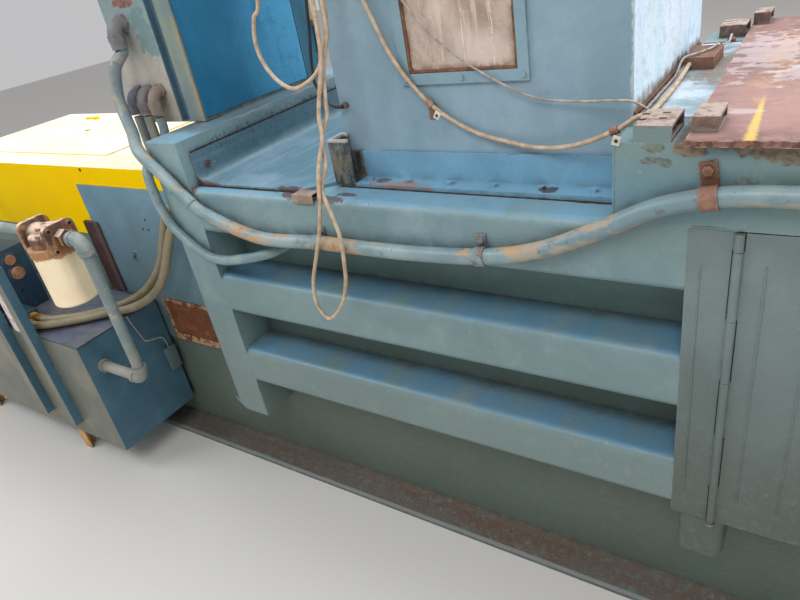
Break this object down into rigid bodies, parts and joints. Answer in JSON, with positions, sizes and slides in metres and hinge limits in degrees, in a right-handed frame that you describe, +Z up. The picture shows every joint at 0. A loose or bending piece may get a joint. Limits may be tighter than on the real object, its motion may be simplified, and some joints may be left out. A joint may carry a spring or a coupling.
{
  "type": "recycling baler",
  "caption": "Horizontal baler with a hydraulic ram, feed hopper, ribbed press chamber, hinged side door, rear hood, oil tank with filter, and control cabinet.",
  "frame": {"origin": "centre of the four anchor bolts, on the floor", "axes": "+X along the machine towards the bale end, service side at -Y, +Z up"},
  "size_m": [4.02, 1.18, 2.15],
  "materials": {
    "bare_steel": "worn bare steel",
    "can_cream": "cream enamel",
    "cast": "oily casting",
    "cord": "pale cord jacket",
    "hose": "brownish rubber",
    "painted": "worn gray-blue machine paint",
    "painted_beige": "beige-gray paint",
    "painted_deep": "deep blue paint",
    "painted_yellow": "yellow paint",
    "pane": "dirty scratched clear sheet",
    "rod_chrome": "polished rod",
    "rusty": "rusty bare plate"
  },
  "bodies": {
    "frame": {"base_rails": "painted", "side_wall_front": "painted", "side_wall_back": "painted", "chamber_floor": "bare_steel", "rib_lower": "painted", "rib_middle": "painted", "rib_upper": "painted", "back_ribs": "painted", "portal_posts": "painted", "portal_beam": "painted", "throat_posts": "painted", "headers": "painted", "deck_plate": "painted", "hopper_flange": "painted", "hopper_shell": "painted", "window_frame": "painted", "window_pane": "pane", "roof_plate": "painted", "chamber_ceiling": "bare_steel", "shear_blade": "bare_steel", "top_plate": "rusty", "tube_lugs": "rusty", "hinge_leaf": "painted", "hinge_pin": "bare_steel", "latch_post": "painted", "end_wall": "painted", "cylinder_barrel": "painted_deep", "cylinder_mount": "bare_steel", "rear_hood": "painted_yellow", "access_cover": "painted", "rust_strip": "rusty", "inspection_cover": "rusty", "oil_tank": "painted_deep", "tank_lid": "painted_deep", "tank_legs": "painted_yellow", "valve_box": "painted_deep", "pump_set": "painted_deep", "filter_head": "cast", "filter_can": "can_cream", "return_pipe": "painted", "control_cabinet": "painted_beige", "conduit_elbows": "cast", "main_conduit": "painted", "branch_conduit": "painted", "hoses": "hose", "line_clamps": "rusty", "cord_run": "cord", "cord_slack": "cord", "cord_drop": "cord", "cord_thin": "cord", "cord_dark": "hose"},
    "ram": {"ram_body": "bare_steel", "ram_shoes": "bare_steel", "piston_rod": "rod_chrome", "rod_pin": "bare_steel"},
    "side_door": {"side_door": "painted"},
    "dog_upper": {"door_dog_upper": "rusty"},
    "dog_lower": {"door_dog_lower": "rusty"},
    "hatch": {"rear_hatch": "painted_yellow"},
    "cabinet_door": {"cabinet_door": "painted_deep"}
  },
  "joints": [
    {"name": "ram_slide", "type": "slide", "parent": "frame", "child": "ram", "axis": [1, 0, 0], "range_m": [0, 0.72]},
    {"name": "side_door_hinge", "type": "hinge", "parent": "frame", "child": "side_door", "pos_m": [0.703, -0.432, 0.69], "axis": [0, 0, -1], "range_deg": [0, 100]},
    {"name": "dog_upper_turn", "type": "hinge", "parent": "frame", "child": "dog_upper", "pos_m": [1.546, -0.445, 0.882], "axis": [0, -1, 0], "range_deg": [0, 90]},
    {"name": "dog_lower_turn", "type": "hinge", "parent": "frame", "child": "dog_lower", "pos_m": [1.546, -0.445, 0.501], "axis": [0, -1, 0], "range_deg": [0, 90]},
    {"name": "hatch_hinge", "type": "hinge", "parent": "frame", "child": "hatch", "pos_m": [-1.7, 0.222, 1.02], "axis": [-1, 0, 0], "range_deg": [0, 95]},
    {"name": "cabinet_door_hinge", "type": "hinge", "parent": "frame", "child": "cabinet_door", "pos_m": [-0.641, 0.282, 1.5], "axis": [0, 0, 1], "range_deg": [0, 68]}
  ]
}
